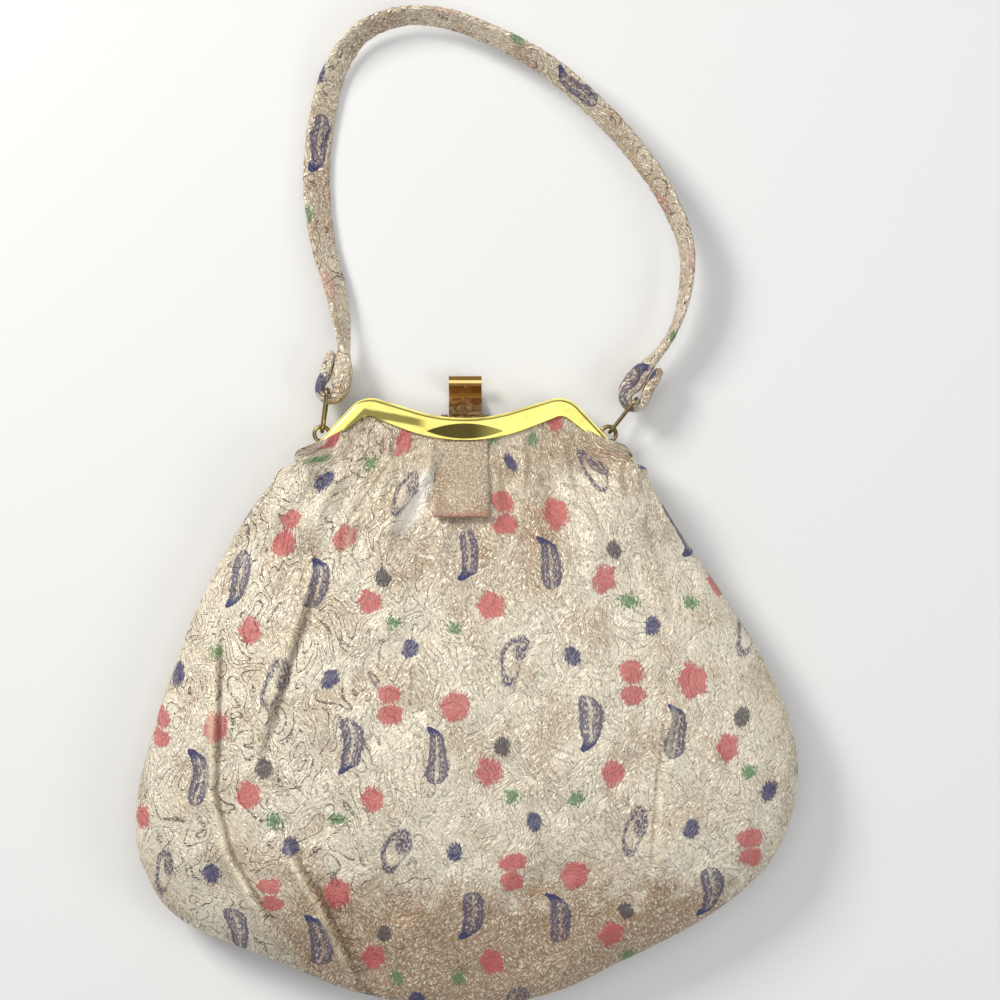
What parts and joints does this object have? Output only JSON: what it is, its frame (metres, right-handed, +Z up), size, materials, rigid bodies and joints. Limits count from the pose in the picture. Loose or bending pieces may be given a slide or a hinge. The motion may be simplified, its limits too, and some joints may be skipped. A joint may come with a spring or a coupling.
{
  "type": "frame purse",
  "caption": "Soft brocade evening purse lying on its back, gathered on a hinged metal frame with a fold-over hasp and a looped cloth strap on wire links.",
  "frame": {"origin": "on the flat patch of the bag's back, where the purse rests on the table", "axes": "+X along the frame's hinge line, +Y from the bag towards the strap, +Z up from the table out of the front"},
  "size_m": [0.2281, 0.3466, 0.0347],
  "materials": {
    "gilt_metal": "polished bright yellow gilt",
    "brocade": "cream and gold jacquard with small coloured motifs",
    "lining": "plain smooth cloth",
    "packing_cord": "twisted paper cord"
  },
  "bodies": {
    "back_half": {"back_frame": "gilt_metal", "left_hinge_rivet": "gilt_metal", "right_hinge_rivet": "gilt_metal", "left_eye": "gilt_metal", "right_eye": "gilt_metal", "hasp_bracket": "gilt_metal", "hasp_pin": "gilt_metal", "front_panel": "brocade", "front_mouth": "brocade", "back_panel": "brocade", "front_lining": "lining", "mouth_lining": "lining", "back_lining": "lining", "back_packing": "packing_cord", "pull_tab": "brocade"},
    "front_half": {"front_frame": "gilt_metal", "front_packing": "packing_cord"},
    "hasp": {"hasp": "gilt_metal"},
    "handle": {"left_link": "gilt_metal", "right_link": "gilt_metal", "strap": "brocade"}
  },
  "joints": [
    {"name": "frame_hinge", "type": "hinge", "parent": "back_half", "child": "front_half", "pos_m": [0, 0.09, 0.014], "axis": [1, 0, 0], "range_deg": [0, 95], "deforming": ["front_mouth", "mouth_lining", "pull_tab"]},
    {"name": "hasp_hinge", "type": "hinge", "parent": "back_half", "child": "hasp", "pos_m": [0, 0.1037, 0.00775], "axis": [1, 0, 0], "range_deg": [0, 120]},
    {"name": "handle_swing", "type": "hinge", "parent": "back_half", "child": "handle", "pos_m": [0, 0.1011, 0.0092], "axis": [1, 0, 0], "range_deg": [-60, 60]}
  ]
}
